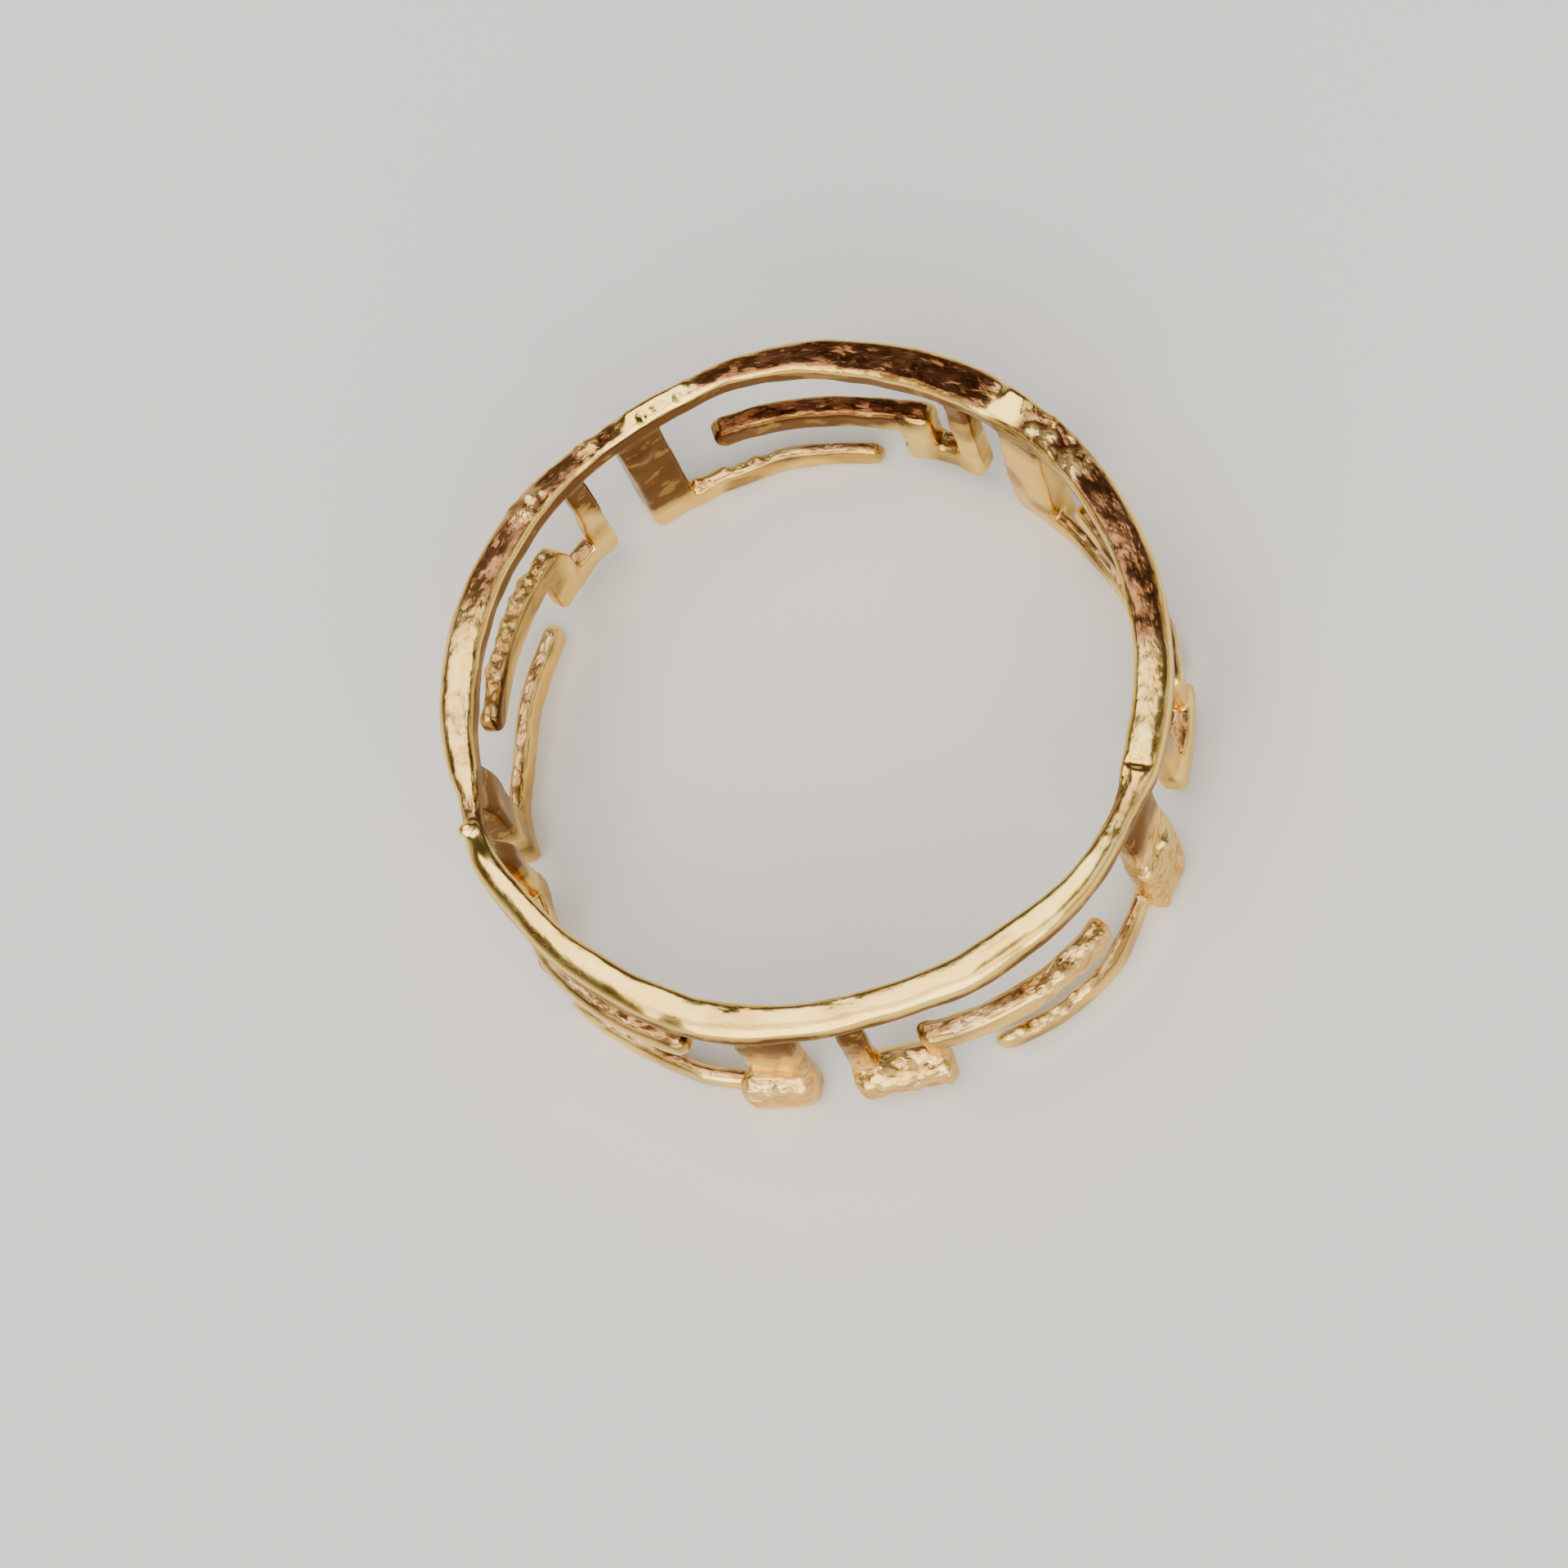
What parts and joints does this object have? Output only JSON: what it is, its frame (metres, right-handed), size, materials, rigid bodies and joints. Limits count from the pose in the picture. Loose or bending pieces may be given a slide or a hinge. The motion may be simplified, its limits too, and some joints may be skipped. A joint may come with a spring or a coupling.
{
  "type": "pierced band ring",
  "caption": "Finger ring cast in one piece: a plain rim that carries a pierced Greek-key band of interlocking hooks.",
  "frame": {"origin": "on the ring's axis, at the height of the surface that the ring lies on", "axes": "+Z along the ring's axis, from the key pattern's free side up to the plain rim"},
  "size_m": [0.019, 0.019, 0.0057],
  "materials": {
    "gold": "polished yellow gold, with rougher cast faces on the edges of the pierced pattern"
  },
  "bodies": {
    "root": {"band": "gold"}
  },
  "joints": []
}
